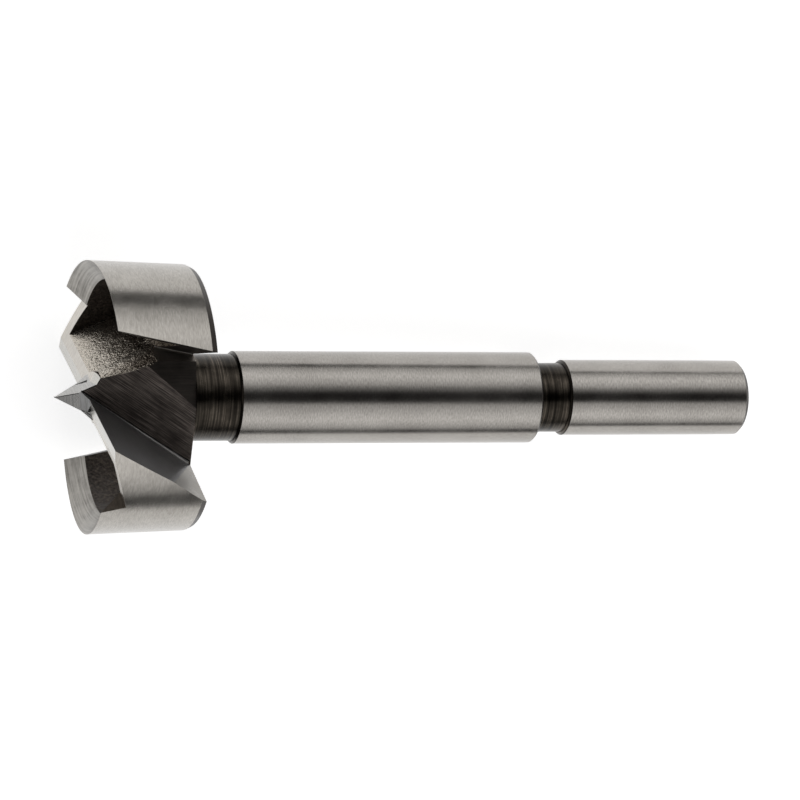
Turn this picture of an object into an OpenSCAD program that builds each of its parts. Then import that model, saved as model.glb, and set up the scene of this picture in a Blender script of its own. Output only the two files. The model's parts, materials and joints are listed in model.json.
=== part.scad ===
// Boring bit for flat-bottomed holes: one piece of tool steel, forged, turned, milled
// and ground. It is drawn point up on its own axis, with the rims' front edge at height 0 and
// the near cutting lip along +X, and is then laid down as it comes to rest.
// Every cut in the head is made twice, half a turn apart.

/* [Head] */
// Diameter of the hole that it bores
bore_d = 35; // [32:0.5:40]
// Length of the head, from the rims' front edge to its rear face
head_len = 13.5; // [12:0.1:16]
// How much narrower the head is at the rear, on the radius
back_taper = 0.38; // [0.1:0.02:0.6]
// Width of the chamfer round the head's rear, on the radius
rear_edge_w = 0.38; // [0.1:0.02:0.6]
// Length of the chamfer round the head's rear
rear_edge_len = 0.75; // [0.3:0.05:1.2]

/* [Rims] */
// Wall of the two rims
rim_t = 2.4; // [1.8:0.1:3]
// Angle of the bevel that sharpens the rims, from the face of the head
rim_bevel = 45; // [35:1:55]
// How far a rim's front falls from its leading end to its trailing end
rim_drop = 0.84; // [0.4:0.02:1.4]
// Angle from the lip back to the leading end of the rim behind it
rim_lead = 31.7; // [27:0.1:36]
// Lean of the rim's leading end, from the axis
lead_lean = 17.4; // [8:0.1:24]
// Distance of the rim's trailing end from the axis
tail_offset = 8.36; // [7:0.02:9.5]
// Angle between the trailing end and the lip
tail_angle = 23.8; // [18:0.1:30]
// Lean of the trailing end, from the axis
tail_lean = 11.8; // [5:0.1:16]

/* [Lips] */
// How far the lips lie behind the rims' front edge
lip_set = 0.36; // [0.2:0.02:0.8]
// How far each lip runs ahead of the axis
lip_ahead = 0.44; // [0.3:0.02:0.8]
// Rake of the lip's face, from the axis
rake = 29.8; // [22:0.1:34]
// Width of the ground land behind the lip
land_w = 1.4; // [0.8:0.05:2]
// Clearance angle of the land
land_relief = 5; // [3:0.5:9]
// Clearance angle of the heel behind the land
heel_relief = 19; // [15:0.5:23]

/* [Throats] */
// Distance of the throat's floor from the axis, at the rims' front edge
floor_offset = 0.46; // [0.3:0.02:0.8]
// Lean of the throat's floor, from the axis
floor_lean = 20.2; // [16:0.1:23]
// Distance of the hub's milled flat from the axis, beside the floor
hub_flat = 5.25; // [4.8:0.05:5.6]
// Angle between that flat and the lip
hub_flat_turn = 25.4; // [20:0.1:30]
// Distance of the hub's other flat from the axis, beside the rim's trailing end
hub_side = 6.6; // [6:0.05:7.2]
// Angle between the other flat and the lip
hub_side_turn = 81.4; // [76:0.1:86]
// Length of the grinding wheel's run-out behind the rake face, inside the rim
runout_len = 4.3; // [3:0.1:5.5]
// Angle between the front of the run-out and the lip
runout_skew = 26.5; // [18:0.5:32]
// Turn of the run-out from the rake face
runout_angle = 8; // [3:0.5:12]

/* [Pockets] */
// Width of the ground heel between the land and the pocket
heel_w = 1.47; // [1:0.01:2]
// Lean of the pocket's wall behind the lip, from the axis
wall_lean = 27; // [22:0.5:32]
// Radius at the foot of the pocket's wall
foot_r = 2.6; // [1.5:0.1:3.5]
// Thickness of the web left behind the pocket
web_t = 4.3; // [3.4:0.1:5]

/* [Centre point] */
// Diameter of the round core that carries the point between the pockets
core_d = 6.6; // [5.6:0.1:7.4]
// Depth behind the rims' front edge at which the core begins to widen, as the pocket's wall leans
core_widen = 1.75; // [1.6:0.05:2.4]
// Height of the point ahead of the rims' front edge
point_h = 3.82; // [3:0.02:5]
// Angle of the point's four facets, from the axis
point_facet = 13.9; // [11:0.1:17]
// Angle between the lip and the point's short diagonal
point_turn = 66.8; // [60:0.1:74]
// Angle from the short diagonal to the facets on either side of it
point_spread = 19.5; // [16:0.1:24]
// Height at which the facets begin to flare out to the core
point_knee = 0.75; // [0.4:0.05:1.2]
// Angle of the flare, from the axis
point_flare = 35.5; // [25:0.5:45]
// Distance past the axis, along the other lip, at which the back of a lip begins to fall
core_fall_start = 0.5; // [0.2:0.05:1]
// Angle of that fall
core_fall = 15.6; // [8:0.1:20]

/* [Neck, body and shank] */
// Diameter of the neck behind the head
neck_d = 11.25; // [9:0.05:11.6]
// Length of the neck
neck_len = 5.8; // [3:0.1:10]
// Diameter of the body
body_d = 12; // [11.8:0.05:13]
// Length of the body
body_len = 41; // [30:0.5:60]
// Diameter of the groove ahead of the shank
groove_d = 9.16; // [7.5:0.02:9.6]
// Length of the groove
groove_len = 4.2; // [2:0.1:8]
// Diameter of the shank, which a chuck grips
shank_d = 10; // [9.8:0.05:11]
// Length of the shank
shank_len = 25.5; // [20:0.5:40]
// Chamfer at the shank's end
shank_chamfer = 0.5; // [0.2:0.05:1.2]
// Chamfer on the edges beside the neck and the groove
edge_break = 0.25; // [0.05:0.05:0.4]

/* [Hidden] */
$fn = 96;

bore_r = bore_d / 2;
rear_r = bore_r - back_taper;
rim_in = bore_r - rim_t;
core_r = core_d / 2;
neck_r = neck_d / 2;
body_r = body_d / 2;
groove_r = groove_d / 2;
shank_r = shank_d / 2;

// Heights along the axis
z_rear = -head_len;
z_rear_edge = z_rear + rear_edge_len;
z_body = z_rear - neck_len;
z_groove = z_body - body_len;
z_shank = z_groove - groove_len;
z_end = z_shank - shank_len;
z_grip = z_end + shank_chamfer;
z_web = z_rear + web_t;
z_runout = z_rear + runout_len;

// The heel's edge above the pocket, and the centre of the round foot below it
heel_edge_y = land_w + heel_w - lip_ahead;
heel_edge_z = -lip_set - land_w * tan(land_relief) - heel_w * tan(heel_relief);
wall_offset = heel_edge_y + heel_edge_z * tan(wall_lean);
foot_z = z_web + foot_r;
foot_y = wall_offset + (foot_r - foot_z * sin(wall_lean)) / cos(wall_lean);

// A chamfer stays within the step that it breaks
neck_break = min(edge_break, 0.8 * (body_r - neck_r));
groove_break = min(edge_break, 0.8 * (shank_r - groove_r));

// Radius of the head's outside at height z
function outside_r(z) = bore_r + back_taper * z / -z_rear_edge;

// The rake face's distance ahead of the axis at height z
function rake_at(z) = lip_ahead + tan(rake) * (z + lip_set);

// Where the trailing end of a rim meets a circle of radius r at height z
function tail_turn(r, z) = tail_angle + asin((tail_offset + tan(tail_lean) * z) / r);

// The rim's front edge runs from the lead to the tail, seen from the point
lead_turn = 180 - rim_lead;
front_tail_turn = tail_turn(bore_r, -rim_drop);
rim_middle = (lead_turn + front_tail_turn) / 2;
rim_chord = 2 * bore_r * sin((lead_turn - front_tail_turn) / 2);
rim_tilt = atan(rim_drop / rim_chord);

// The corners it rests on: a lip's outer end, a rim's rear end and the shank's edge
lip_r = outside_r(-lip_set);
lip_turn = 180 + asin(lip_ahead / lip_r);
tail_rest_turn = 180 + tail_turn(rear_r, z_rear_edge);
rest_cos = lip_r * cos(lip_turn) - rear_r * cos(tail_rest_turn);
rest_sin = lip_r * sin(lip_turn) - rear_r * sin(tail_rest_turn);
rest_span = -lip_set - z_rear_edge;

// The turn that brings both corners of the head equally low, at slope k of the axis
function down_turn(k) = atan2(rest_sin, rest_cos)
    + acos(rest_span * k / norm([rest_cos, rest_sin]));

// The slope at which the shank's edge then lies as low as the lip
function rest_slope(k) = (lip_r * cos(lip_turn - down_turn(k)) - shank_r) / (-lip_set - z_grip);

// The two settle on each other within a few passes
function settled(k, passes) = passes == 0 ? k : settled(rest_slope(k), passes - 1);
slope = settled(0.1, 12);
tilt = atan(slope);
down = down_turn(slope);

// Extent of the bit as it lies, along and above the surface
rest_x = (point_h - z_end) * cos(tilt) + (shank_r - shank_chamfer) * sin(tilt);
rest_z = (point_h - z_grip) * sin(tilt) + shank_r * cos(tilt);

// Size of the blocks that make flat cuts, past every side of the head
wide = 3 * bore_d;
// Cuts that meet run this far into each other
overlap = 0.5;
// Angle of the point's two long edges, from the axis, and how far inside them the flare ends
long_edge = atan(tan(point_facet) / sin(point_spread));
long_edge_in = 0.1;
// Height of the cone that the core widens into, down to the rear of the head
skirt_h = -core_widen - z_rear;
// The pocket's round foot crosses its wall and its web by this much
foot_ease = 0.05;

// All that lies further than offset from the axis towards turn, on a plane that leans
// outwards by lean as it rises
module beyond(turn, offset, lean = 0) {
    rotate([0, 0, turn])
        translate([offset, 0, 0])
            rotate([0, lean, 0])
                translate([0, -wide / 2, -wide / 2])
                    cube(wide);
}

// All that lies above a plane through the lip's direction, falling behind height z at y
module above(y, z, fall) {
    translate([0, y, z])
        rotate([fall, 0, 0])
            translate([-wide / 2, -wide / 2, 0])
                cube(wide);
}

module both_sides() {
    children();
    rotate([0, 0, 180])
        children();
}

// The turned blank, from the flat front of the head to the end of the shank
module turned_blank() {
    rotate_extrude()
        polygon([
            [0, 0],
            [bore_r, 0],
            [rear_r, z_rear_edge],
            [rear_r - rear_edge_w, z_rear],
            [neck_r, z_rear],
            [neck_r, z_body],
            [body_r - neck_break, z_body],
            [body_r, z_body - neck_break],
            [body_r, z_groove + edge_break],
            [body_r - edge_break, z_groove],
            [groove_r, z_groove],
            [groove_r, z_shank],
            [shank_r - groove_break, z_shank],
            [shank_r, z_shank - groove_break],
            [shank_r, z_grip],
            [shank_r - shank_chamfer, z_end],
            [0, z_end]
        ]);
}

// The forged pocket between the back of a lip and the rim behind it, round at the foot
module pocket() {
    difference() {
        intersection() {
            beyond(90, wall_offset, -wall_lean);
            union() {
                beyond(90, foot_y);
                above(foot_y, foot_z, wall_lean);
                translate([0, foot_y, foot_z])
                    rotate([0, 90, 0])
                        cylinder(r = foot_r + foot_ease, h = wide, center = true);
            }
            translate([0, 0, z_web])
                cylinder(r = rim_in, h = wide);
        }
        translate([0, 0, -wide / 2])
            cylinder(r = core_r, h = wide);
        translate([0, 0, z_rear])
            cylinder(r1 = core_r + skirt_h * tan(wall_lean), r2 = core_r, h = skirt_h);
    }
}

// The clearance behind a lip: land, heel, and the notch up to the rim's leading end
module flank() {
    land_end_y = lip_ahead - land_w;
    land_end_z = -lip_set - land_w * tan(land_relief);
    intersection() {
        union() {
            above(lip_ahead, -lip_set, land_relief);
            above(land_end_y, land_end_z, heel_relief);
            translate([core_fall_start, land_end_y, land_end_z])
                rotate([heel_relief, 0, 0])
                    rotate([0, -core_fall, 0])
                        translate([-wide / 2, -wide / 2, 0])
                            cube(wide);
        }
        union() {
            beyond(90 - rim_lead, 0, -lead_lean);
            translate([0, 0, -wide / 2])
                cylinder(r = rim_in, h = wide);
        }
        union() {
            beyond(0, 0);
            beyond(-90, lip_ahead);
        }
        beyond(0, -core_r);
        beyond(-90, -land_w);
    }
}

// The bevel inside a rim's front, ground on a tilted cone so that the edge falls back
module rim_front() {
    depth = rim_t * tan(rim_bevel) + rim_drop + 1;
    grow = 1 / tan(rim_bevel);
    intersection() {
        translate([0, 0, -rim_drop / 2])
            rotate([0, 0, rim_middle])
                rotate([rim_tilt, 0, 0])
                    translate([0, 0, -depth])
                        cylinder(r1 = bore_r - depth * grow, r2 = bore_r + depth * grow, h = 2 * depth);
        difference() {
            translate([0, 0, -wide / 2])
                cylinder(r = bore_r + rim_t, h = wide);
            translate([0, 0, -wide])
                cylinder(r = rim_in - overlap, h = 2 * wide);
        }
        beyond(90 - rim_lead, -overlap, lead_lean);
        beyond(90 + tail_angle, tail_offset - overlap, tail_lean);
    }
}

// The centre point: a flat, four-sided pyramid that flares out at its foot
module centre_point() {
    foot = lip_set + land_w;
    intersection() {
        translate([0, 0, -foot])
            cylinder(r = core_r, h = point_h + foot);
        facet_pair(point_turn - point_spread);
        facet_pair(point_turn + point_spread);
    }
}

// Two opposite facets of the point, square to turn
module facet_pair(turn) {
    intersection() {
        facet(turn);
        facet(turn + 180);
    }
}

// All that lies inside one facet, or inside its flare and between the point's two long edges
module facet(turn) {
    knee_r = (point_h - point_knee) * tan(point_facet);
    beyond(turn, -point_h * tan(point_facet), point_facet);
    intersection() {
        beyond(turn, -knee_r - point_knee * tan(point_flare), point_flare);
        beyond(point_turn + 90, long_edge_in - point_h * tan(long_edge), long_edge);
        beyond(point_turn - 90, long_edge_in - point_h * tan(long_edge), long_edge);
    }
}

// The open throat ahead of a lip: rake face, floor, hub and the end of the next rim
module throat() {
    intersection() {
        union() {
            beyond(90, rake_at(0), rake);
            translate([rim_in, rake_at(z_runout), z_runout])
                rotate([-rake, 0, 0])
                    rotate([0, -runout_skew, 0])
                        rotate([-runout_angle, 0, 0])
                            translate([-wide / 2, 0, -wide / 2])
                                cube(wide);
        }
        beyond(tail_angle - 90, -tail_offset, -tail_lean);
        union() {
            beyond(0, floor_offset, -floor_lean);
            beyond(hub_flat_turn, hub_flat);
            beyond(hub_side_turn, hub_side);
        }
        translate([0, 0, z_rear])
            cylinder(r = bore_d, h = wide);
    }
}

module upright_bit() {
    difference() {
        union() {
            difference() {
                turned_blank();
                both_sides() {
                    pocket();
                    flank();
                    rim_front();
                }
            }
            centre_point();
        }
        both_sides()
            throat();
    }
}

// The bit laid on its three points of rest, tip towards -X
module boring_bit() {
    color([0.66, 0.66, 0.64])
        translate([-rest_x / 2, 0, rest_z])
            rotate([0, tilt, 0])
                translate([point_h, 0, 0])
                    rotate([0, -90, 0])
                        rotate([0, 0, 180 - down])
                            upright_bit();
}

boring_bit();
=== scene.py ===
"""A boring bit for flat-bottomed holes, lying on a white table in soft studio light."""

import json
import math

import bpy
import numpy as np
from mathutils import Matrix, Vector
from mathutils.geometry import delaunay_2d_cdt


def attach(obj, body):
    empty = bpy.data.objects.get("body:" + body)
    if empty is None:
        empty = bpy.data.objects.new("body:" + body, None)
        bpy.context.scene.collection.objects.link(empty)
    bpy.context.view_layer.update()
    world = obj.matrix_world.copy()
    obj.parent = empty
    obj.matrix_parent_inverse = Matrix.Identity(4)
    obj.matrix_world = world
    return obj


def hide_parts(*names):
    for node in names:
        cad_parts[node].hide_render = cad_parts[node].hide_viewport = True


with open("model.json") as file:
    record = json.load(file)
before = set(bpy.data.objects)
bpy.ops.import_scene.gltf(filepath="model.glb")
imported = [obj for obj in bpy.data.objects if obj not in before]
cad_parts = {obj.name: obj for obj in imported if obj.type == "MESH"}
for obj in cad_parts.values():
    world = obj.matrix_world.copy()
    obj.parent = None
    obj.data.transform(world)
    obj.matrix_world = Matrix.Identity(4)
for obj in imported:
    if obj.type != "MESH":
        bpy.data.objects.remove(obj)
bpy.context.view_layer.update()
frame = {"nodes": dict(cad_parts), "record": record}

MM = 0.001

# The bit's own sizes, in millimetres, as its source gives them
POINT_H = 3.82
SHANK_MIDDLE = 80.945
HEAD_LEN = 13.5
NECK_LEN = 5.8
BODY_LEN = 41.0
GROOVE_LEN = 4.2
RIM_IN = 15.1
CORE_R = 3.3
CORE_WIDEN = 1.75
WEB_T = 4.3
FOOT_R = 2.6
FOOT_EASE = 0.05
LIP_SET = 0.36
LIP_AHEAD = 0.44
LAND_W = 1.4
HEEL_W = 1.47

# Angles of its ground and milled faces, in degrees
LIP_TURN = -16.24
RAKE = 29.8
RUNOUT_ANGLE = 8.0
FLOOR_LEAN = 20.2
LAND_RELIEF = 5.0
HEEL_RELIEF = 19.0
TAIL_ANGLE = 23.8
TAIL_LEAN = 11.8
RIM_LEAD = 31.7
LEAD_LEAN = 17.4
RUNOUT_SKEW = 26.5
HUB_FLAT_TURN = 25.4
HUB_SIDE_TURN = 81.4
WALL_LEAN = 27.0
CORE_FALL = 15.6
POINT_FACET = 13.9
POINT_FLARE = 35.5
POINT_TURN = 66.8
POINT_SPREAD = 19.5

# Heights along the axis: 0 at the rims' front edge, and up towards the point
Z_REAR = -HEAD_LEN
Z_BODY = Z_REAR - NECK_LEN
Z_GROOVE = Z_BODY - BODY_LEN
Z_SHANK = Z_GROOVE - GROOVE_LEN
Z_WEB = Z_REAR + WEB_T

# A face belongs to a flat from this cosine up, and to a rim from this radius out
FLAT_MATCH = 0.9995
RIM_FROM = RIM_IN - 0.3

# How plainly a face points some way: the cosine between its normal and that way
HARDLY = 0.1
PARTLY = 0.3
HALFWAY = 0.5
MOSTLY = 0.9
WHOLLY = 0.95

# Limits between faces, in mm: the point's foot, the head's turned rear edge, and a hair's width
POINT_FOOT_Z = -2.0
REAR_EDGE_Z = Z_REAR + 0.8
HAIR = 0.01

# Grain is three places in mm: along a face's marks, across them, and one that sets the two halves apart
HALF_APART = 7.0
# Its second place where forged steel is darkest, under whole scale and painted shade
SCALE_AND_SHADE_PLACE = 20.0

# The part of their range that noise patterns fill
NOISE_LOW = 0.3
NOISE_HIGH = 0.7

# Forged steel as values from whole scale with painted shade to clean metal: stains and pits blend in by their
# shares, and the colours run from the darkest value to the palest
SCALED_AND_SHADED = 0.26
SCOURED = 0.62
STAIN_SHARE = 0.25
PIT_SHARE = 0.35
DARKEST = 0.34
PALEST = 0.56

# The camera, in millimetres and degrees, on a 36 mm sensor
SENSOR_W = 36.0
LENS = 160.69
CAMERA_DISTANCE = 453.8
CAMERA_ALONG = 43.971
CAMERA_UP = -0.351
CAMERA_SWING = 17.833
CAMERA_TURN = 7.56


def bit_frame():
    """The bit's axes in the row frame: along the axis to the shank, sideways, and up.

    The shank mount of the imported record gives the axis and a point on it.
    """
    mount = frame["record"]["mounts"][0]
    along = Vector(mount["axis"]).normalized()
    side = Vector((0.0, 1.0, 0.0))
    up = along.cross(side)
    tip = Vector(mount["pos_m"]) - along * SHANK_MIDDLE * MM
    turn = Matrix((along, side, up)).transposed()
    return Matrix.Translation(tip) @ turn.to_4x4()


BIT = bit_frame()


def to_own(points):
    """Row points (n, 3) in metres to the bit's own frame in millimetres.

    In its own frame z runs up to the point, z = 0 is the rims' front edge and x runs
    out along the near lip.
    """
    tip = np.array(BIT.translation)
    turn = np.array(BIT.to_3x3())
    along, side, up = ((points - tip) @ turn / MM).T
    lip = math.radians(LIP_TURN)
    x = up * math.cos(lip) + side * math.sin(lip)
    y = side * math.cos(lip) - up * math.sin(lip)
    return np.stack([x, y, POINT_H - along], axis=1)


def to_row(points):
    """The bit's own points (n, 3) in millimetres back to the row frame in metres."""
    x, y, z = points.T
    lip = math.radians(LIP_TURN)
    up = x * math.cos(lip) - y * math.sin(lip)
    side = x * math.sin(lip) + y * math.cos(lip)
    parts = np.stack([POINT_H - z, side, up], axis=1) * MM
    return parts @ np.array(BIT.to_3x3()).T + np.array(BIT.translation)


def linear(code):
    """A colour written as an sRGB hex value, as linear red, green, blue and alpha."""
    parts = [int(code[i : i + 2], 16) / 255 for i in (1, 3, 5)]
    return [c / 12.92 if c <= 0.04045 else ((c + 0.055) / 1.055) ** 2.4 for c in parts] + [1.0]


def add(tree, kind, links=None, **settings):
    """Adds a node: settings are its properties, links set or feed its sockets by name or index."""
    node = tree.nodes.new(kind)
    for key, value in settings.items():
        setattr(node, key, value)
    for key, value in (links or {}).items():
        socket = node.inputs[key]
        if isinstance(value, bpy.types.NodeSocket):
            tree.links.new(value, socket)
        else:
            socket.default_value = value
    return node


def coloured(tree, value, low, high, stops):
    """Colours that follow a value from low to high: stops are pairs of place and hex colour."""
    spread = add(tree, "ShaderNodeMapRange", {0: value, 1: low, 2: high})
    node = add(tree, "ShaderNodeValToRGB", {"Fac": spread.outputs[0]})
    places = node.color_ramp.elements
    while len(places) < len(stops):
        places.new(0.5)
    for place, (position, code) in zip(places, stops):
        place.position = position
        place.color = linear(code)
    return node.outputs["Color"]


def steel(name, bare):
    """Steel of which the share bare is clean metal and the rest oxide, with its nodes and shader."""
    made = bpy.data.materials.new(name)
    made.use_nodes = True
    shader = made.node_tree.nodes["Principled BSDF"]
    shader.inputs["Metallic"].default_value = bare
    return made, made.node_tree, shader


def finish_steel(tree, shader, colour, stains, roughness, height, depth, edge):
    """Links a steel's colour, roughness and relief to its shader.

    roughness runs from the clean to the stained places. The relief is depth mm high, and the
    edges are worn to a radius of edge mm.
    """
    tree.links.new(colour, shader.inputs["Base Color"])
    spread = {0: stains, 1: NOISE_LOW, 2: NOISE_HIGH, 3: roughness[0], 4: roughness[1]}
    rough = add(tree, "ShaderNodeMapRange", spread).outputs[0]
    tree.links.new(rough, shader.inputs["Roughness"])
    worn = add(tree, "ShaderNodeBevel", {"Radius": edge * MM}, samples=4).outputs[0]
    relief = {"Height": height, "Normal": worn, "Distance": depth * MM, "Strength": 1.0}
    bump = add(tree, "ShaderNodeBump", relief).outputs[0]
    tree.links.new(bump, shader.inputs["Normal"])


def evenly(colours):
    """Colours spaced evenly from 0 to 1."""
    return [(i / (len(colours) - 1), code) for i, code in enumerate(colours)]


def cut_steel(name, colours, roughness, line, depth, blotch=3.0, edge=0.06, stain=0.35, bare=1.0):
    """Steel with tool marks along its grain attribute.

    line is the marks' length and spacing in mm and depth how deep they are in mm. colours
    run from the bottom of a mark to its top, with a share of stains about blotch mm wide.
    roughness runs from the clean to the stained places. edge is the radius of its worn
    edges in mm.
    """
    made, tree, shader = steel(name, bare)
    grain = add(tree, "ShaderNodeAttribute", attribute_name="grain").outputs["Vector"]
    stretch = (1 / line[0], 1 / line[1], 1.0)
    marks_at = add(tree, "ShaderNodeVectorMath", {0: grain, 1: stretch}, operation="MULTIPLY").outputs[0]
    fine = {"Vector": marks_at, "Scale": 1.0, "Detail": 3.0, "Roughness": 0.6}
    marks = add(tree, "ShaderNodeTexNoise", fine).outputs["Fac"]
    place = add(tree, "ShaderNodeTexCoord").outputs["Object"]
    broad = {"Vector": place, "Scale": 1 / (blotch * MM), "Detail": 4.0, "Roughness": 0.6}
    stains = add(tree, "ShaderNodeTexNoise", broad).outputs["Fac"]
    both = add(tree, "ShaderNodeMix", {0: stain, 2: marks, 3: stains}).outputs[0]
    colour = coloured(tree, both, NOISE_LOW, NOISE_HIGH, evenly(colours))
    finish_steel(tree, shader, colour, stains, roughness, marks, depth, edge)
    return made


def forged_steel(name, colours, roughness, lump, depth, scale, dull=None, edge=0.06, bare=0.6):
    """Steel as it left the forging die, with lumps about lump mm wide and depth mm high.

    colours run from the darkest, deep in, to the palest at the edge: the darkening is partly black scale left
    in the depths and partly painted shade.
    scale gives two places in mm across the grain: where the darkening begins and where it is
    whole. Between the two places of dull it loses its shine.
    """
    made, tree, shader = steel(name, bare)
    place = add(tree, "ShaderNodeTexCoord").outputs["Object"]
    cells = {"Vector": place, "Scale": 1 / (lump * MM), "Detail": 1.0, "Smoothness": 0.6}
    pits = add(tree, "ShaderNodeTexVoronoi", cells, feature="SMOOTH_F1").outputs["Distance"]
    soft = {"Vector": place, "Scale": 1 / (lump * MM), "Detail": 2.0, "Roughness": 0.5}
    waves = add(tree, "ShaderNodeTexNoise", soft).outputs["Fac"]
    height = add(tree, "ShaderNodeMix", {0: 0.5, 2: pits, 3: waves}).outputs[0]
    broad = {"Vector": place, "Scale": 1 / (4 * lump * MM), "Detail": 4.0}
    stains = add(tree, "ShaderNodeTexNoise", broad).outputs["Fac"]
    grain = add(tree, "ShaderNodeAttribute", attribute_name="grain").outputs["Vector"]
    into = add(tree, "ShaderNodeSeparateXYZ", {0: grain}).outputs["Y"]
    darkening_range = {0: into, 1: scale[0], 2: scale[1], 3: SCOURED, 4: SCALED_AND_SHADED}
    darkening = add(tree, "ShaderNodeMapRange", darkening_range).outputs[0]
    patchy = add(tree, "ShaderNodeMix", {0: STAIN_SHARE, 2: darkening, 3: stains}).outputs[0]
    pitted = add(tree, "ShaderNodeMix", {0: PIT_SHARE, 2: patchy, 3: height}).outputs[0]
    colour = coloured(tree, pitted, DARKEST, PALEST, evenly(colours))
    finish_steel(tree, shader, colour, stains, roughness, height, depth, edge)
    if dull:
        fading = {0: into, 1: dull[0], 2: dull[1], 3: 1.0, 4: 0.0}
        shine = add(tree, "ShaderNodeMapRange", fading).outputs[0]
        tree.links.new(shine, shader.inputs["Specular Tint"])
    return made


# Marks of wheels and cutters are drawn 0.1 to 0.4 mm apart, coarser than real ones, so that they show

# Bearing-ground steel, satin: fine rings round the body and shank
ground_shank = cut_steel("ground_shank", ["#827e79", "#aba7a2"], (0.19, 0.25), (0.5, 0.15), 0.003, blotch=6.0)
# Cylinder-ground steel, coarser: short rings round the outside of the rims
ground_rim = cut_steel("ground_rim", ["#8a8680", "#afaba5"], (0.2, 0.26), (0.8, 0.16), 0.004, blotch=4.0)
# Turned and heat-darkened steel: deep rings from the lathe tool
turned_neck = cut_steel("turned_neck", ["#0c0a09", "#302c27", "#655d54"], (0.2, 0.32), (11.0, 0.2), 0.022)
# Surface-ground steel, the finest wheel: grey rake faces, and brighter corners in the valleys
ground_rake = cut_steel(
    "ground_rake", ["#929294", "#a2a2a3"], (0.32, 0.4), (6.0, 0.12), 0.001, blotch=5.0, bare=0.85
)
ground_valley = cut_steel("ground_valley", ["#8a8886", "#bdbbb8"], (0.26, 0.34), (6.0, 0.1), 0.004, bare=0.9)
# The same wheel as it lifts off: short slanting strokes
ground_runout = cut_steel("ground_runout", ["#5f5a52", "#847e75"], (0.25, 0.34), (2.5, 0.14), 0.004)
# Tool-ground steel, the brightest: smooth lands, and heels with short strokes
ground_flank = cut_steel("ground_flank", ["#b0aea9", "#c6c4be"], (0.22, 0.32), (4.0, 0.16), 0.003, blotch=2.5)
ground_heel = cut_steel("ground_heel", ["#a5a098", "#d8d3cb"], (0.26, 0.38), (1.6, 0.22), 0.004, blotch=2.0)
# Hand-ground steel: the centre point, with level bands on its lower facets and its flare
ground_point = cut_steel("ground_point", ["#9a9997", "#b7b6b4"], (0.18, 0.26), (3.0, 0.14), 0.002, blotch=2.0)
ground_facet = cut_steel("ground_facet", ["#a3a2a0", "#d2d0ce"], (0.2, 0.3), (4.0, 0.3), 0.002, stain=0.1)
# The flare near-white and mostly matt, so that it shows bright: a painted highlight on ground steel
ground_flare_painted_highlight = cut_steel(
    "ground_flare_painted_highlight", ["#c4c3c1", "#ffffff"], (0.3, 0.4), (4.0, 0.36), 0.003, stain=0.1, bare=0.3
)
# Bevel-ground steel: rings along the rims' sharpened fronts
ground_bevel = cut_steel(
    "ground_bevel", ["#5b5854", "#8f8c87", "#aba7a1"], (0.26, 0.36), (7.0, 0.17), 0.009, blotch=2.0
)
# Milled steel, heat-darkened: long lines on the throat floors, duller ones on the hub
milled_floor = cut_steel(
    "milled_floor", ["#161312", "#5f5752", "#a89d95"], (0.3, 0.46), (5.0, 0.12), 0.024, stain=0.25, bare=0.75
)
milled_hub = cut_steel("milled_hub", ["#1f1b18", "#3c3631"], (0.4, 0.6), (4.0, 0.3), 0.015, bare=0.6)
# The hub's sides, paler than the hub so that they show in the shaded crevice beside the tail: painted light
milled_side_painted_light = cut_steel("milled_side_painted_light", ["#7b746c", "#958d84"], (0.4, 0.6), (4.0, 0.3), 0.015, bare=0.6)
# Milled steel, brown: the ends of the rims and the turned rear of the head
milled_end = cut_steel("milled_end", ["#231f1c", "#3b3530"], (0.3, 0.45), (3.0, 0.22), 0.008, bare=0.8)
milled_lead = cut_steel("milled_lead", ["#4e473f", "#7d7368"], (0.4, 0.55), (0.9, 0.4), 0.03, bare=0.6)
# Beads of burr that the milling cutter pushed up beside the hub, near-white and mostly matt: a painted
# highlight along the crevice
burr_painted_highlight = cut_steel("burr_painted_highlight", ["#e0dad1", "#fbf7f0"], (0.2, 0.3), (1.5, 0.2), 0.004, bare=0.3)
# Painted shade, dull black: thin raised lines along the throats' corners and the point's ridge, slit and
# wedge, where shadow falls
painted_shade_black = cut_steel("painted_shade_black", ["#0d0b0a", "#1d1917"], (0.5, 0.7), (0.6, 0.2), 0.01, bare=0.5)
# Forged steel: glittering and paler beside the heels, darker further in, partly black scale and partly
# painted shade in the depths, and dull in the web
pocket_colours = ["#241e1a", "#60574e", "#a69d91", "#c6beb2"]
forged_pocket = forged_steel(
    "forged_pocket", pocket_colours, (0.18, 0.28), 0.26, 0.13, (1.5, 8.5), (7.5, 9.5), bare=0.85
)
wall_colours = ["#231e1a", "#473f38", "#6d6359"]
forged_wall = forged_steel("forged_wall", wall_colours, (0.4, 0.6), 0.36, 0.07, (-20.0, -2.0))

FINISHES = [
    ground_shank,
    ground_rim,
    turned_neck,
    ground_rake,
    ground_runout,
    ground_flank,
    ground_heel,
    ground_point,
    ground_facet,
    ground_flare_painted_highlight,
    ground_bevel,
    milled_floor,
    milled_hub,
    milled_side_painted_light,
    milled_end,
    milled_lead,
    forged_pocket,
    forged_wall,
]


def leaning(turn, lean):
    """Unit normal that points out towards turn, and up from the level by lean, in degrees."""
    turn, lean = math.radians(turn), math.radians(lean)
    return np.array([math.cos(lean) * math.cos(turn), math.cos(lean) * math.sin(turn), math.sin(lean)])


def runout_normal():
    """The rake face's normal, tipped by the run-out's turn about its skewed front edge."""
    rake, skew, turn = math.radians(RAKE), math.radians(RUNOUT_SKEW), math.radians(RUNOUT_ANGLE)
    sideways, out, down = math.sin(turn) * math.sin(skew), math.cos(turn), math.sin(turn) * math.cos(skew)
    y = out * math.cos(rake) - down * math.sin(rake)
    z = -out * math.sin(rake) - down * math.cos(rake)
    return np.array([sideways, y, z])


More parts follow.
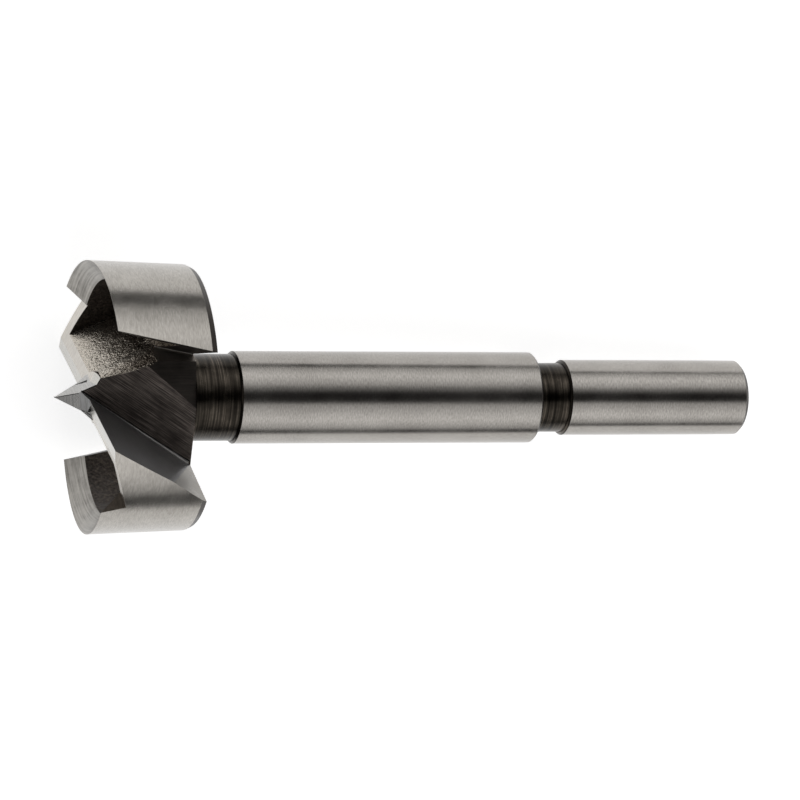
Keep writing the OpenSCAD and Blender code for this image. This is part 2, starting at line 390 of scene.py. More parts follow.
def core_fall_normal():
    """The heel's normal, tipped back along the lip where it passes the axis."""
    heel, fall = math.radians(HEEL_RELIEF), math.radians(CORE_FALL)
    return np.array([-math.sin(fall), -math.sin(heel) * math.cos(fall), math.cos(heel) * math.cos(fall)])


RAKE_FACE = leaning(90, -RAKE)
RUNOUT_FACE = runout_normal()
FLOOR_FACE = leaning(0, FLOOR_LEAN)
TAIL_FACE = leaning(TAIL_ANGLE - 90, TAIL_LEAN)
LEAD_FACE = leaning(90 - RIM_LEAD, LEAD_LEAN)
LAND_FACE = leaning(-90, 90 - LAND_RELIEF)
HEEL_FACE = leaning(-90, 90 - HEEL_RELIEF)
CORE_FALL_FACE = core_fall_normal()
HUB_FLAT_FACE = leaning(HUB_FLAT_TURN, 0)
HUB_SIDE_FACE = leaning(HUB_SIDE_TURN, 0)
POINT_FACES = [leaning(POINT_TURN + turn, POINT_FACET) for turn in (POINT_SPREAD, -POINT_SPREAD)]
FLARE_FACE = leaning(POINT_TURN + POINT_SPREAD, POINT_FLARE)
STEEP_FACE = leaning(POINT_TURN - POINT_SPREAD, POINT_FLARE)
LIP_WAY = np.array([1.0, 0.0, 0.0])
AXIS_WAY = np.array([0.0, 0.0, 1.0])
HALF_TURN = np.array([-1.0, -1.0, 1.0])
SIDES = (np.ones(3), HALF_TURN)


def unit(vector):
    """The vector at length 1."""
    return vector / np.linalg.norm(vector)


# Each flat face: its normal, the way its marks run, and its finish
FLATS = [
    (RAKE_FACE, LIP_WAY, ground_rake),
    (RUNOUT_FACE, unit(np.cross(RUNOUT_FACE, LIP_WAY)), ground_runout),
    (FLOOR_FACE, unit(np.cross(RAKE_FACE, FLOOR_FACE)), milled_floor),
    (TAIL_FACE, unit(np.cross(TAIL_FACE, AXIS_WAY)), milled_end),
    (LEAD_FACE, unit(np.cross(LEAD_FACE, AXIS_WAY)), milled_lead),
    (LAND_FACE, LIP_WAY, ground_flank),
    (HEEL_FACE, unit(np.cross(HEEL_FACE, LIP_WAY)), ground_heel),
    (CORE_FALL_FACE, LIP_WAY, ground_flank),
    (POINT_FACES[1], unit(np.cross(POINT_FACES[1], AXIS_WAY)), ground_facet),
    (STEEP_FACE, unit(np.cross(STEEP_FACE, AXIS_WAY)), ground_flare_painted_highlight),
    (HUB_FLAT_FACE, AXIS_WAY, milled_hub),
    (HUB_SIDE_FACE, AXIS_WAY, milled_side_painted_light),
]


def grain_round(corners, centres):
    """Millimetres round the axis and along it, with no jump inside a face."""
    turn = np.arctan2(corners[..., 1], corners[..., 0])
    middle = np.arctan2(centres[:, 1], centres[:, 0])[:, None]
    turn = middle + (turn - middle + math.pi) % (2 * math.pi) - math.pi
    radius = np.hypot(corners[..., 0], corners[..., 1])
    return np.stack([turn * radius.mean(axis=1, keepdims=True), corners[..., 2], radius], axis=2)


def face_finishes(corners):
    """The finish and the grain of each of the bit's own faces (n, 3 corners, 3), by its place."""
    centres = corners.mean(axis=1)
    normals = np.cross(corners[:, 1] - corners[:, 0], corners[:, 2] - corners[:, 0])
    normals /= np.linalg.norm(normals, axis=1, keepdims=True)
    radius = np.hypot(centres[:, 0], centres[:, 1])
    outward = (centres[:, :2] * normals[:, :2]).sum(axis=1) / np.maximum(radius, 1e-6)
    height = centres[:, 2]
    forward = normals[:, 2]
    grain = grain_round(corners, centres)
    finish = np.full(len(corners), FINISHES.index(forged_pocket))

    def dress(chosen, material):
        finish[chosen] = FINISHES.index(material)

    on_shaft = height < Z_REAR + HAIR
    narrow = (height < Z_REAR) & (height > Z_BODY) | (height < Z_GROOVE) & (height > Z_SHANK)
    # End faces take the dark turned finish; the chamfers facing the front are darkened with it too, a painted
    # shade
    shoulders_and_shaded_chamfers = on_shaft & ((abs(forward) > MOSTLY) | (forward > PARTLY))
    dress(on_shaft, ground_shank)
    dress(narrow | shoulders_and_shaded_chamfers, turned_neck)
    in_head = ~on_shaft
    on_rim = in_head & (radius > RIM_FROM)
    round_wall = on_rim & (abs(outward) > MOSTLY)
    round_foot = in_head & (height < FOOT_Z) & (forward > HALFWAY)
    dress(round_wall & (outward > 0), ground_rim)
    dress((height < REAR_EDGE_Z) & (forward < -PARTLY) & (radius > CORE_R), milled_end)
    dress(on_rim & (outward < -WHOLLY), forged_wall)
    dress(on_rim & (forward > HALFWAY) & (outward < -HALFWAY), ground_bevel)
    dress((height > POINT_FOOT_Z) & (radius < CORE_R - 2 * HAIR) & (forward > HARDLY), ground_point)
    flat_ground = in_head & ~round_wall & ~round_foot
    for facing, along, material in FLATS:
        across = np.cross(facing, along)
        for side in SIDES:
            chosen = flat_ground & (normals @ (facing * side) > FLAT_MATCH)
            dress(chosen, material)
            flat = corners[chosen] * side
            half = np.full(flat.shape[:2], HALF_APART * side[0])
            grain[chosen] = np.stack([flat @ along, flat @ across, half], axis=2)
    # The pocket's faces that stay unnetted, under the rims, get the darkest place: black scale and painted
    # shade
    grain[finish == FINISHES.index(forged_pocket), :, 1] = SCALE_AND_SHADE_PLACE
    return finish, grain, centres, normals


# The pocket's section, from the heel's edge down its wall, round its foot and over its web
WALL = math.radians(WALL_LEAN)
HEEL_EDGE_Y = LAND_W + HEEL_W - LIP_AHEAD
LAND_FALL = LAND_W * math.tan(math.radians(LAND_RELIEF))
HEEL_FALL = HEEL_W * math.tan(math.radians(HEEL_RELIEF))
HEEL_EDGE_Z = -LIP_SET - LAND_FALL - HEEL_FALL
FOOT_Z = Z_WEB + FOOT_R
FOOT_Y = HEEL_EDGE_Y + HEEL_EDGE_Z * math.tan(WALL) + (FOOT_R - FOOT_Z * math.sin(WALL)) / math.cos(WALL)
FOOT_ROUND = FOOT_R + FOOT_EASE
FOOT_START = math.pi + WALL + math.acos(FOOT_R / FOOT_ROUND)
FOOT_STOP = 1.5 * math.pi - math.acos(FOOT_R / FOOT_ROUND)
WALL_FOOT_Y = FOOT_Y + FOOT_ROUND * math.cos(FOOT_START)
WALL_FOOT_Z = FOOT_Z + FOOT_ROUND * math.sin(FOOT_START)
WALL_RUN = math.hypot(WALL_FOOT_Y - HEEL_EDGE_Y, WALL_FOOT_Z - HEEL_EDGE_Z)
FOOT_RUN = FOOT_ROUND * (FOOT_STOP - FOOT_START)
WEB_Y = FOOT_Y + FOOT_ROUND * math.cos(FOOT_STOP)

# The radius at which the cone that the core widens into is unrolled
SKIRT_R = 1.5 * CORE_R


def pocket_unrolled(points):
    """Flattens pocket points: x along the lip, and the run down wall, foot and web."""
    x, y, z = points.T
    wall = (y - HEEL_EDGE_Y) * math.sin(WALL) - (z - HEEL_EDGE_Z) * math.cos(WALL)
    turn = np.arctan2(z - FOOT_Z, y - FOOT_Y) % (2 * math.pi)
    foot = WALL_RUN + FOOT_ROUND * (turn - FOOT_START)
    web = WALL_RUN + FOOT_RUN + y - WEB_Y
    run = np.where(z > WALL_FOOT_Z, wall, np.where(y < WEB_Y, foot, web))
    return np.stack([x, run], axis=1)


def pocket_rolled(flat):
    """Takes flat pocket points back into the round: places and outward normals."""
    x, run = flat.T
    turn = FOOT_START + np.clip((run - WALL_RUN) / FOOT_ROUND, 0, FOOT_STOP - FOOT_START)
    on_wall = np.minimum(run - WALL_RUN, 0)
    on_web = np.maximum(run - WALL_RUN - FOOT_RUN, 0)
    y = FOOT_Y + FOOT_ROUND * np.cos(turn) + on_wall * math.sin(WALL) + on_web
    z = FOOT_Z + FOOT_ROUND * np.sin(turn) - on_wall * math.cos(WALL)
    normals = np.stack([np.zeros(len(x)), -np.cos(turn), -np.sin(turn)], axis=1)
    return np.stack([x, y, z], axis=1), normals


def skirt_unrolled(points):
    """Flattens the cone that the core widens into: millimetres round it, and the run down it."""
    x, y, z = points.T
    return np.stack([-SKIRT_R * np.arctan2(y, x), (HEEL_EDGE_Z - z) / math.cos(WALL)], axis=1)


def skirt_rolled(flat):
    """Takes flat points of the core's cone back into the round: places and outward normals."""
    turn = -flat[:, 0] / SKIRT_R
    z = HEEL_EDGE_Z - flat[:, 1] * math.cos(WALL)
    radius = CORE_R - (z + CORE_WIDEN) * math.tan(WALL)
    round_way = np.stack([np.cos(turn), np.sin(turn), np.zeros(len(z))], axis=1)
    normals = round_way * math.cos(WALL) + AXIS_WAY * math.sin(WALL)
    return radius[:, None] * round_way + z[:, None] * AXIS_WAY, normals


def rim_unrolled(points):
    """Flattens the inside of a rim: millimetres back round it, and height."""
    x, y, z = points.T
    return np.stack([-RIM_IN * np.arctan2(y, x), z], axis=1)


def rim_rolled(flat):
    """Takes flat points of a rim's inside back into the round: places and outward normals."""
    turn, z = -flat[:, 0] / RIM_IN, flat[:, 1]
    round_way = np.stack([np.cos(turn), np.sin(turn), np.zeros(len(z))], axis=1)
    return RIM_IN * round_way + z[:, None] * AXIS_WAY, -round_way


# The forged nets: spacing in mm, and as shares of it the jitter and the room left at the outline
NET_MM = 0.19
NET_JITTER = 0.22
NET_ROOM = 0.45

# Their relief in mm, with two sizes of lumps and their shares, and the width over which it dies away
RELIEF_MM = 0.055
BIG_LUMP_MM = 1.1
BIG_SHARE = 0.5
SMALL_LUMP_MM = 0.45
SMALL_SHARE = 0.6
FADE_MM = 0.7

# Lumps before they repeat, and a shift that keeps their count above zero
LUMP_COUNT = 96
LUMP_SHIFT = 1000

# How the darkening, black scale and painted shade, gains towards the throat, in mm across the grain for each
# mm from the core's middle
DARKENING_LEAN = 2.1
SKIRT_MIDDLE = -7.7


def lumps(flat, size, rng):
    """Smooth random heights from -1 to 1: random values size mm apart, blended by 3s2 - 2s3."""
    table = rng.uniform(-1, 1, (LUMP_COUNT + 1, LUMP_COUNT + 1))
    grid = flat / size + LUMP_SHIFT
    cell = np.floor(grid).astype(int)
    s, t = ((grid - cell) ** 2 * (3 - 2 * (grid - cell))).T
    i, j = (cell % LUMP_COUNT).T
    low = table[i, j] * (1 - s) + table[i + 1, j] * s
    high = table[i, j + 1] * (1 - s) + table[i + 1, j + 1] * s
    return low * (1 - t) + high * t


def distance_to_outline(points, ends):
    """Distance of points (n, 2) from the nearest of some straight edges (k, 2 ends, 2)."""
    start, way = ends[:, 0], ends[:, 1] - ends[:, 0]
    reach = ((points[:, None] - start) * way).sum(axis=2) / np.maximum((way * way).sum(axis=1), 1e-12)
    nearest = start + np.clip(reach, 0, 1)[..., None] * way
    return np.linalg.norm(points[:, None] - nearest, axis=2).min(axis=1)


def forged_net(own, picked, side, unrolled, rolled, rng):
    """Lays a fine net over some faces and lifts it into forging lumps.

    The net keeps the faces' outline, and fills it with points NET_MM apart on a jittered
    grid. The lift is RELIEF_MM times two sizes of lumps, and dies away at the outline.
    Gives the new points, the triangles, whose points below len(own) are old ones, and the
    triangles' flat corners.
    """
    edges = np.sort(np.concatenate([picked[:, [0, 1]], picked[:, [1, 2]], picked[:, [2, 0]]]), axis=1)
    edges, uses = np.unique(edges, axis=0, return_counts=True)
    old, outline = np.unique(edges[uses == 1], return_inverse=True)
    outline = outline.reshape(-1, 2)
    border = unrolled(own[old] * side)
    low, high = border.min(axis=0), border.max(axis=0)
    across, down = np.meshgrid(np.arange(low[0], high[0], NET_MM), np.arange(low[1], high[1], NET_MM))
    across[::2] += NET_MM / 2
    inner = np.stack([across.ravel(), down.ravel()], axis=1)
    inner += rng.uniform(-NET_JITTER, NET_JITTER, inner.shape) * NET_MM
    inner = inner[distance_to_outline(inner, border[outline]) > NET_ROOM * NET_MM]
    points = np.concatenate([border, inner])
    laid = delaunay_2d_cdt([Vector(p) for p in points], outline.tolist(), [], 1, 1e-6)
    flat = np.array([v[:] for v in laid[0]])
    first = np.array([min(ids) if ids else len(points) for ids in laid[3]])
    triangles = np.array(laid[2])
    used = np.unique(triangles)
    kept = used[first[used] < len(old)]
    fresh = used[first[used] >= len(old)]
    number = np.zeros(len(flat), dtype=int)
    number[kept] = old[first[kept]]
    number[fresh] = len(own) + np.arange(len(fresh))
    places, normals = rolled(flat[fresh])
    fade = np.clip(distance_to_outline(flat[fresh], border[outline]) / FADE_MM, 0, 1)
    lift = BIG_SHARE * lumps(flat[fresh], BIG_LUMP_MM, rng)
    lift += SMALL_SHARE * lumps(flat[fresh], SMALL_LUMP_MM, rng)
    places += normals * (RELIEF_MM * lift * fade)[:, None]
    return places * side, number[triangles], flat[triangles]


def merged_mesh():
    """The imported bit's points and triangles, with its loose corners joined."""
    source = frame["nodes"]["boring_bit"].data
    places = np.empty(len(source.vertices) * 3)
    source.vertices.foreach_get("co", places)
    indices = np.empty(len(source.loops), dtype=int)
    source.loops.foreach_get("vertex_index", indices)
    points, joined = np.unique(np.round(places.reshape(-1, 3), 8), axis=0, return_inverse=True)
    return points, joined.reshape(-1)[indices].reshape(-1, 3)


# Points this near to a face's plane, in mm, lie on the face
ON_PLANE_MM = 0.05


def shared_edge(own, triangles, normals, side, facings):
    """The edge of two flat faces, from front to rear, and the ways from it into either face."""
    faces = [np.unique(triangles[normals @ (facing * side) > FLAT_MATCH]) for facing in facings]
    ends = own[np.intersect1d(*faces)] * side
    ends = ends[np.argsort(-ends[:, 2])][[0, -1]]
    middle = ends.mean(axis=0)
    ways = []
    for facing, face in zip(facings, faces):
        way = unit(np.cross(facing, ends[1] - ends[0]))
        corners = own[face] * side - middle
        level = corners[abs(corners @ facing) < ON_PLANE_MM]
        ways.append(way * np.sign(level.mean(axis=0) @ way))
    return ends, ways


def line_on_face(own, triangles, normals, facing, ends, into):
    """A line from one end to the other on a flat face, and the way from it towards a third point."""
    on_face = own[triangles[normals @ facing > FLAT_MATCH][0, 0]]
    ends = np.array(ends)
    ends = ends + ((on_face - ends) @ facing)[:, None] * facing
    way = unit(np.cross(facing, ends[1] - ends[0]))
    way *= np.sign((np.array(into) - ends[0]) @ way)
    return ends, (way, way)


# Points along and across each thin sheet, and the shares of its edge that each kind runs between
LONG_STEPS = 80
CROSS_STEPS = 9
CORNER_SPAN = (0.03, 0.985)
BEAD_SPAN = (0.02, 0.98)
LINE_SPAN = (0.0, 0.99)

# Lines of painted shade, in mm: the height of their sides, how much their middle rises, and their ragged
# share
LINE_LIFT = 0.003
LINE_RISE = 0.012
LINE_RAGGED = 0.33


def laid_out(edge, side, s, across, places, outward):
    """A sheet's points and grain in rows, turned so that its faces point outwards.

    Along the grain is the way s along the edge, and across it the given mm.
    """
    ends, _ = edge
    along = np.broadcast_to(np.linalg.norm(ends[1] - ends[0]) * s, places.shape[:2] + (1,))
    across = np.broadcast_to(across, along.shape)
    grain = np.concatenate([along, across, np.full_like(along, HALF_APART * side[0])], axis=2)
    places = places * side
    turned = np.cross(places[-1, 0] - places[0, 0], places[0, -1] - places[0, 0])
    if turned @ (outward * side) < 0:
        places, grain = places[:, ::-1], grain[:, ::-1]
    return places.reshape(-1, 3), grain.reshape(-1, 3)


def valley_corner(edge, side, widths):
    """The round corner that a wheel leaves in the valley between two flat faces.

    Across the valley it is the curve w ((1 - t)^2 a + t^2 b), t from 0 to 1, where a lies
    in the one face and b in the other. w grows from one of the widths to the other, in mm,
    with the square of the way to the rear.
    """
    ends, ways = edge
    s = np.linspace(*CORNER_SPAN, LONG_STEPS)[:, None, None]
    t = np.linspace(0, 1, CROSS_STEPS)[None, :, None]
    width = widths[0] + (widths[1] - widths[0]) * s**2
    places = ends[0] + s * (ends[1] - ends[0]) + width * ((1 - t) ** 2 * ways[0] + t**2 * ways[1])
    return laid_out(edge, side, s, 2 * width * t, places, ways[0] + ways[1])


def burr_bead(edge, side, radius):
    """The bead of pushed-up metal that a cutter leaves in the corner of two flat faces.

    Across the corner it is the round r (a cos(t) + b sin(t)), t from 0 to a quarter turn,
    where a lies in the one face and b in the other.
    """
    ends, ways = edge
    s = np.linspace(*BEAD_SPAN, LONG_STEPS)[:, None, None]
    t = np.linspace(0, math.pi / 2, CROSS_STEPS)[None, :, None]
    places = ends[0] + s * (ends[1] - ends[0]) + radius * (np.cos(t) * ways[0] + np.sin(t) * ways[1])
    return laid_out(edge, side, s, radius * t, places, ways[0] + ways[1])


def painted_shade_line(edge, facing, side, insets, widths, rng):
    """A ragged black line of painted shade on the second of two faces along their edge, or along a line drawn
    on a face.

    It lies (i + w t (1 + r)) b from the edge, t from 0 to 1, where b points into the face,
    and LINE_LIFT + LINE_RISE sin(pi t) mm above the face. The inset i grows to the rear as the
    corner does, the width w grows evenly, and r is a random share of up to LINE_RAGGED.
    """
    ends, ways = edge
    s = np.linspace(*LINE_SPAN, LONG_STEPS)[:, None, None]
    t = np.linspace(0, 1, CROSS_STEPS)[None, :, None]
    ragged = 1 + rng.uniform(-LINE_RAGGED, LINE_RAGGED, (LONG_STEPS, 1, 1))
    width = widths[0] + (widths[1] - widths[0]) * s
    into = insets[0] + (insets[1] - insets[0]) * s**2 + width * t * ragged
    above = LINE_LIFT + LINE_RISE * np.sin(math.pi * t)
    places = ends[0] + s * (ends[1] - ends[0]) + into * ways[1] + above * facing
    return laid_out(edge, side, s, into, places, facing)


def thin_sheet(name, parts, material):
    """One object of some sheets, each LONG_STEPS by CROSS_STEPS points with their grain."""
    first = (np.arange(LONG_STEPS - 1)[:, None] * CROSS_STEPS + np.arange(CROSS_STEPS - 1)).ravel()
    quads = np.stack([first, first + CROSS_STEPS, first + CROSS_STEPS + 1, first + 1], axis=1)
    quads = np.concatenate([quads + LONG_STEPS * CROSS_STEPS * i for i in range(len(parts))])
    mesh = bpy.data.meshes.new(name)
    mesh.from_pydata(to_row(np.concatenate([places for places, _ in parts])), [], quads)
    mesh.materials.append(material)
    grain = np.concatenate([part for _, part in parts])
    mesh.attributes.new("grain", "FLOAT_VECTOR", "POINT").data.foreach_set("vector", grain.ravel())
    mesh.polygons.foreach_set("use_smooth", np.ones(len(quads), dtype=bool))
    mesh.update()
    sheet = bpy.data.objects.new(name, mesh)
    bpy.context.collection.objects.link(sheet)
    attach(sheet, "root")


# Lines of painted shade at the point's foot, where a slit and a wedge lie in shadow, in mm: two ends, and a
# point on the side that they widen to
SLIT_ENDS = [(-1.95, 0.93, 0.7), (-1.4, 1.82, -0.6)]
SLIT_INTO = (-0.5, 1.91, -0.81)
WEDGE_ENDS = [(2.5, -0.15, -0.41), (3.05, -0.61, -0.45)]
WEDGE_INTO = (2.01, -0.82, 0.75)

# Width of the valleys' corners at the front and rear, insets of lines that begin at their edge, and the
# beads' radius, in mm
CORNER_WIDTHS = (0.05, 0.3)
AT_EDGE = (0.0, 0.0)
BEAD_R = 0.22

# Seeds of the random draws for the lines of painted shade and for the forged nets
LINE_SEED = 36
NET_SEED = 35


def throat_details(own, triangles, normals):
    """The throats' round corners, beads of burr in a painted highlight, and lines of painted shade there and
    on the point.
    """
    rng = np.random.default_rng(LINE_SEED)
    corners, beads, lines = [], [], []
    slit = line_on_face(own, triangles, normals, FLARE_FACE, SLIT_ENDS, SLIT_INTO)
    wedge = line_on_face(own, triangles, normals, STEEP_FACE, WEDGE_ENDS, WEDGE_INTO)
    for side in SIDES:
        valley = shared_edge(own, triangles, normals, side, (RAKE_FACE, FLOOR_FACE))
        foot = shared_edge(own, triangles, normals, side, (FLARE_FACE, FLOOR_FACE))
        core = shared_edge(own, triangles, normals, side, (CORE_FALL_FACE * HALF_TURN, FLOOR_FACE))
        ridge = shared_edge(own, triangles, normals, side, POINT_FACES)
        crevice = shared_edge(own, triangles, normals, side, (TAIL_FACE, HUB_SIDE_FACE))
        corners.append(valley_corner(valley, side, CORNER_WIDTHS))
        beads.append(burr_bead(crevice, side, BEAD_R))
        # Each line's edge, the face that it lies on, and its insets and widths at the front and rear
        for edge, facing, insets, widths in (
            (valley, FLOOR_FACE, CORNER_WIDTHS, (0.16, 0.16)),
            (foot, FLOOR_FACE, AT_EDGE, (0.14, 0.14)),
            (core, FLOOR_FACE, AT_EDGE, (0.14, 0.14)),
            (ridge, POINT_FACES[1], AT_EDGE, (0.09, 0.09)),
            (slit, FLARE_FACE, AT_EDGE, (0.1, 0.45)),
            (wedge, STEEP_FACE, AT_EDGE, (0.06, 0.55)),
        ):
            lines.append(painted_shade_line(edge, facing, side, insets, widths, rng))
    thin_sheet("valley_corners", corners, ground_valley)
    # Beads coloured as a painted highlight
    thin_sheet("burr_beads", beads, burr_painted_highlight)
    # Black lines of painted shade along the edges
    thin_sheet("painted_shade_lines", lines, painted_shade_black)


# The pocket's wall, foot and web run along the lip: less than this share of their normal points that way
ALONG_LIP = 0.001


def dressed_bit():
    """The bit's own mesh with its forged faces laid finer, and a finish and grain on each face."""
    points, triangles = merged_mesh()
    own = to_own(points)
    finish, grain, centres, normals = face_finishes(own[triangles])
    throat_details(own, triangles, normals)
    rng = np.random.default_rng(NET_SEED)
    replaced = np.zeros(len(triangles), dtype=bool)
    along_lip = abs(normals[:, 0]) < ALONG_LIP
    on_skirt = abs(normals[:, 2] - math.sin(WALL)) < HARDLY
    nets, kinds, grains = [], [], []
    for side in SIDES:
        near = (centres * side)[:, 1] > 0
        for material, where, unrolled, rolled, lean in (
            (forged_pocket, along_lip, pocket_unrolled, pocket_rolled, 0.0),
            (forged_pocket, on_skirt, skirt_unrolled, skirt_rolled, DARKENING_LEAN),
            (forged_wall, near, rim_unrolled, rim_rolled, 0.0),
        ):
            kind = FINISHES.index(material)
            chosen = near & where & (finish == kind) & ~replaced
            new, net, flat = forged_net(own, triangles[chosen], side, unrolled, rolled, rng)
            replaced |= chosen
            nets.append(np.where(net >= len(own), net - len(own) + len(points), net))
            points = np.concatenate([points, to_row(new)])
            half = np.full(flat.shape[:2] + (1,), HALF_APART * side[0])
            into = flat[..., 1:] + lean * (flat[..., :1] - SKIRT_MIDDLE)
            grains.append(np.concatenate([flat[..., :1], into, half], axis=2))
            kinds.append(kind)
    sizes = [len(net) for net in nets]
    triangles = np.concatenate([triangles[~replaced], *nets])
    grain = np.concatenate([grain[~replaced], *grains])
    finish = np.concatenate([finish[~replaced], np.repeat(kinds, sizes)])
    netted = np.arange(len(triangles)) >= len(triangles) - sum(sizes)

    mesh = bpy.data.meshes.new("steel_bit")
    mesh.from_pydata(points, [], triangles)
    for material in FINISHES:
        mesh.materials.append(material)
    mesh.polygons.foreach_set("material_index", finish)
    mesh.attributes.new("grain", "FLOAT_VECTOR", "CORNER").data.foreach_set("vector", grain.ravel())
    mesh.polygons.foreach_set("use_smooth", np.ones(len(triangles), dtype=bool))
    mesh.update()
    mark_sharp(mesh, netted, finish)
    piece = bpy.data.objects.new("steel_bit", mesh)
    bpy.context.collection.objects.link(piece)
    return piece


# Faces of one finish that turn by more than this many degrees meet in a sharp edge
SHARP_TURN = 11.0


def mark_sharp(mesh, netted, finish):
    """Makes an edge sharp where its finish changes, or its faces turn by more than SHARP_TURN.

    Edges inside the forged nets stay soft.
    """
    edges = np.empty(len(mesh.loops), dtype=int)
    mesh.loops.foreach_get("edge_index", edges)
    facing = np.empty(len(mesh.polygons) * 3)
    mesh.polygons.foreach_get("normal", facing)
    facing = facing.reshape(-1, 3)
    order = np.argsort(edges, kind="stable")
    first, second = (np.repeat(np.arange(len(mesh.polygons)), 3)[order]).reshape(-1, 2).T
    turned = (facing[first] * facing[second]).sum(axis=1) < math.cos(math.radians(SHARP_TURN))
    sharp = turned & ~(netted[first] & netted[second])
    sharp |= finish[first] != finish[second]
    mesh.attributes.new("sharp_edge", "BOOLEAN", "EDGE").data.foreach_set("value", sharp)


def stage_sheet(name, corners, material):
    """A flat four-cornered sheet of the studio."""
    mesh = bpy.data.meshes.new(name)
    mesh.from_pydata(corners, [], [(0, 1, 2, 3)])
    mesh.materials.append(material)
    sheet = bpy.data.objects.new(name, mesh)
    bpy.context.collection.objects.link(sheet)
    return sheet


def white_table(size=3.0, glow=0.8, camera_share=0.93):
    """The table: matt white board that shows the camera and the steel a clean white."""
    board = bpy.data.materials.new("white_board")
    board.use_nodes = True
    tree = board.node_tree
    shader = tree.nodes["Principled BSDF"]
    shader.inputs["Base Color"].default_value = linear("#f4f4f4")
    shader.inputs["Roughness"].default_value = 0.9
    shader.inputs["Specular IOR Level"].default_value = 0.1
    shader.inputs["Emission Color"].default_value = linear("#ffffff")
    ray = add(tree, "ShaderNodeLightPath").outputs
    direct = {0: ray["Is Camera Ray"], 1: camera_share}
    seen = add(tree, "ShaderNodeMath", direct, operation="MULTIPLY").outputs[0]
    for kind in ("Is Glossy Ray", "Is Transmission Ray"):
        seen = add(tree, "ShaderNodeMath", {0: seen, 1: ray[kind]}, operation="MAXIMUM").outputs[0]
    lift = add(tree, "ShaderNodeMath", {0: seen, 1: glow}, operation="MULTIPLY").outputs[0]
    tree.links.new(lift, shader.inputs["Emission Strength"])
    return stage_sheet("table", level_corners(size / 2, -size / 2, size / 2, 0.0), board)


def dark_card(name, corners, shade):
    """A matt dark card outside the picture, which the steel reflects as a dark line."""
    card = bpy.data.materials.new(name)
    card.use_nodes = True
    shader = card.node_tree.nodes["Principled BSDF"]
    shader.inputs["Base Color"].default_value = linear(shade)
    shader.inputs["Roughness"].default_value = 0.9
    sheet = stage_sheet(name, corners, card)
    sheet.visible_camera = False
    return sheet


# The soft boxes, in metres, with their middle well towards the shank's end so that they begin at the head,
# and their radiance
BOX_LENGTH = 1.1
BOX_FORWARD = 0.48
BOX_DISTANCE = 0.55
BOX_AIM = 0.012
BOX_RADIANCE = 1.1


def soft_box(name, low, high, side, stops):
    """A long soft box beside the bit, from low to high degrees off the vertical.

    stops give its brightness as grey from its upper edge to its lower one.
    """
    middle, half = math.radians((low + high) / 2), math.radians((high - low) / 2)
    lamp = bpy.data.lights.new(name, "AREA")
    lamp.shape = "RECTANGLE"
    lamp.size = BOX_LENGTH
    lamp.size_y = 2 * BOX_DISTANCE * math.tan(half)
    lamp.energy = BOX_RADIANCE * math.pi * lamp.size * lamp.size_y
    lamp.use_nodes = True
    tree = lamp.node_tree
    across = add(tree, "ShaderNodeNewGeometry").outputs["Parametric"]
    place = add(tree, "ShaderNodeSeparateXYZ", {0: across}).outputs["Y"]
    if side < 0:
        stops = [(1 - at, code) for at, code in reversed(stops)]
    grey = coloured(tree, place, 0.0, 1.0, stops)
    tree.links.new(grey, tree.nodes["Emission"].inputs["Color"])
    box = bpy.data.objects.new(name, lamp)
    way = Vector((0.0, side * math.sin(middle), math.cos(middle)))
    level = Vector((1.0, 0.0, 0.0))
    turn = Matrix((level, way.cross(level), way)).transposed()
    aim = Vector((BOX_FORWARD, 0.0, BOX_AIM))
    box.matrix_world = Matrix.Translation(way * BOX_DISTANCE + aim) @ turn.to_4x4()
    box.visible_camera = False
    bpy.context.collection.objects.link(box)


# The dark cards, in metres: one overhead, and one on either side that stands on its own foot on the table
OVERHEAD_REACH = 0.9
OVERHEAD_NEAR = -0.14
OVERHEAD_FAR = 0.58
OVERHEAD_Z = 0.75
CARD_REACH = 1.2
CARD_FOOT_Z = 0.001
CARD_GREY = "#585858"


def level_corners(reach, near, far, z):
    """Corners of a level sheet at height z, from near to far and as far as reach to either end."""
    return [(-reach, near, z), (reach, near, z), (reach, far, z), (-reach, far, z)]


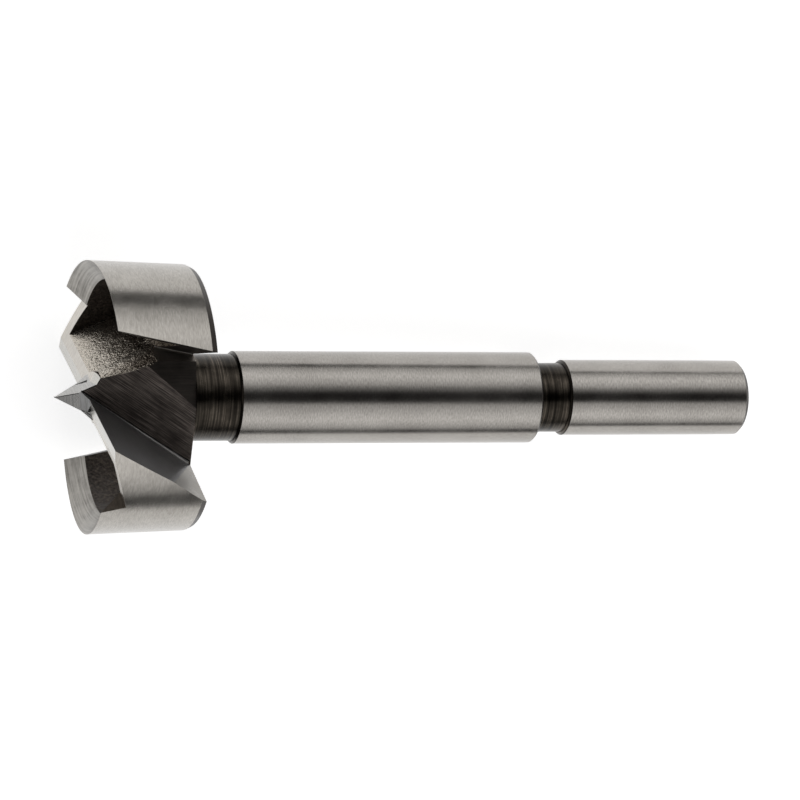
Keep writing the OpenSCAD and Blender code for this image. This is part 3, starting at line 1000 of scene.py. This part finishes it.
def studio():
    """White table, a soft box on either side, dark overhead and dark at the horizon."""
    world = bpy.data.worlds.new("studio_air")
    bpy.context.scene.world = world
    world.use_nodes = True
    world.node_tree.nodes["Background"].inputs["Color"].default_value = linear("#d9d9d9")
    world.node_tree.nodes["Background"].inputs["Strength"].default_value = 0.4
    white_table()
    left_greys = [(0.0, "#000000"), (0.37, "#c4c4c4"), (0.63, "#ffffff"), (0.96, "#b0b0b0")]
    right_greys = [(0.0, "#adadad"), (0.2, "#bcbcbc"), (0.56, "#ffffff")]
    right_greys += [(0.79, "#cbcbcb"), (0.94, "#959595")]
    soft_box("left_box", 20, 90, 1, left_greys)
    soft_box("right_box", 7, 86, -1, right_greys)
    overhead = level_corners(OVERHEAD_REACH, OVERHEAD_NEAR, OVERHEAD_FAR, OVERHEAD_Z)
    dark_card("overhead_card", overhead, "#0c0c0c")
    reach = CARD_REACH
    for name, y, height, near in (("left_card", 0.5, 0.008, 0.08), ("right_card", -0.5, 0.07, -0.13)):
        upright = [(-reach, y, 0.0), (reach, y, 0.0), (reach, y, height), (-reach, y, height)]
        dark_card(name, upright, CARD_GREY)
        dark_card(name + "_foot", level_corners(reach, near, y, CARD_FOOT_Z), CARD_GREY)


def place_camera():
    """The camera of the photograph, set by the bit's own axis and then turned with it."""
    swing, turn = math.radians(CAMERA_SWING), math.radians(CAMERA_TURN)
    right = Vector((math.cos(swing), 0.0, math.sin(swing)))
    back = Vector((-math.sin(swing), 0.0, math.cos(swing)))
    up = Vector((0.0, 1.0, 0.0))
    place = right * CAMERA_ALONG + up * CAMERA_UP + back * CAMERA_DISTANCE
    stand = Matrix((right, up, back)).transposed().to_4x4()
    stand.translation = place * MM
    about_axis = Matrix.Rotation(-turn, 4, "X")
    lens = bpy.data.cameras.new("camera")
    lens.sensor_width = SENSOR_W
    lens.lens = LENS
    lens.clip_start = 0.01
    camera = bpy.data.objects.new("camera", lens)
    camera.matrix_world = BIT @ about_axis @ stand
    bpy.context.collection.objects.link(camera)
    bpy.context.scene.camera = camera


bpy.context.scene.view_settings.view_transform = "Standard"
place_camera()
studio()

bit = dressed_bit()
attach(bit, "root")
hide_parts("boring_bit")
